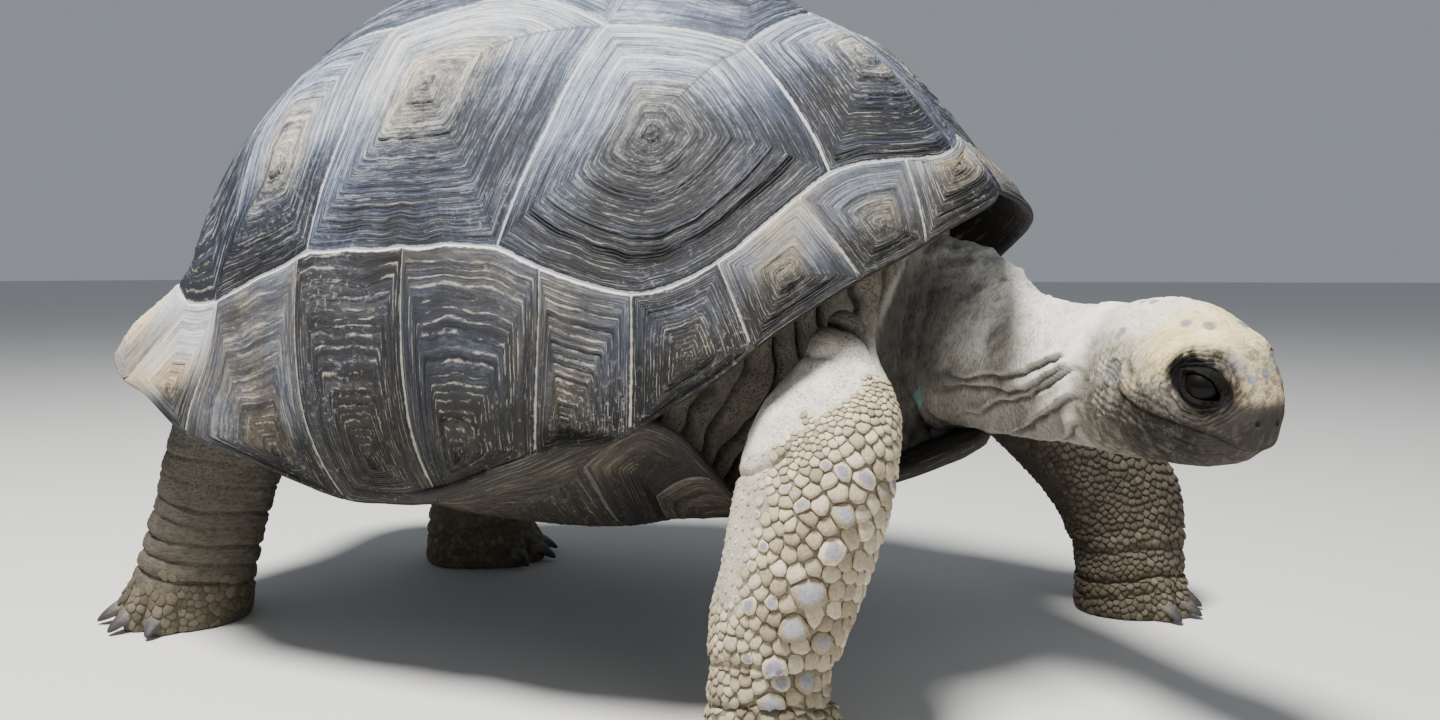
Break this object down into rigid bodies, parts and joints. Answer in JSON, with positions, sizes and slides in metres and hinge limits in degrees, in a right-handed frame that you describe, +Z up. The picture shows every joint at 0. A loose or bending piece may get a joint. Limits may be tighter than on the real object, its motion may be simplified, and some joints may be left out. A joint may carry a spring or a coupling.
{
  "type": "giant tortoise figure",
  "caption": "Life-size still figure of a high-domed giant tortoise in mid-stride, head lowered and turned to its right.",
  "frame": {"origin": "on the floor, under the middle of the whole animal's box", "axes": "+X towards the head along the shell, +Y to the animal's left, +Z up"},
  "size_m": [1.3488, 0.739, 0.8093],
  "materials": {
    "carapace_horn": "ridged keratin scutes, blue-grey and charcoal growth rings with cream lines and pale seams",
    "plastron_horn": "worn tan and brown keratin plates",
    "skin": "dry grey-beige skin with folds, dark specks and horny grey-white scales",
    "claw_horn": "dull dark horn, paler at the root",
    "eye": "wet, very dark brown"
  },
  "bodies": {
    "root": {"carapace": "carapace_horn", "plastron": "plastron_horn", "trunk": "skin", "neck": "skin", "head": "skin", "lower_jaw": "skin", "eye_left": "eye", "eye_right": "eye", "fore_leg_right": "skin", "fore_foot_right": "skin", "fore_claw_right_1": "claw_horn", "fore_claw_right_2": "claw_horn", "fore_claw_right_3": "claw_horn", "fore_claw_right_4": "claw_horn", "fore_claw_right_5": "claw_horn", "fore_leg_left": "skin", "fore_foot_left": "skin", "fore_claw_left_1": "claw_horn", "fore_claw_left_2": "claw_horn", "fore_claw_left_3": "claw_horn", "fore_claw_left_4": "claw_horn", "fore_claw_left_5": "claw_horn", "hind_leg_right": "skin", "hind_foot_right": "skin", "hind_claw_right_1": "claw_horn", "hind_claw_right_2": "claw_horn", "hind_claw_right_3": "claw_horn", "hind_claw_right_4": "claw_horn", "hind_leg_left": "skin", "hind_foot_left": "skin", "hind_claw_left_1": "claw_horn", "hind_claw_left_2": "claw_horn", "hind_claw_left_3": "claw_horn", "hind_claw_left_4": "claw_horn", "tail": "skin"}
  },
  "joints": []
}
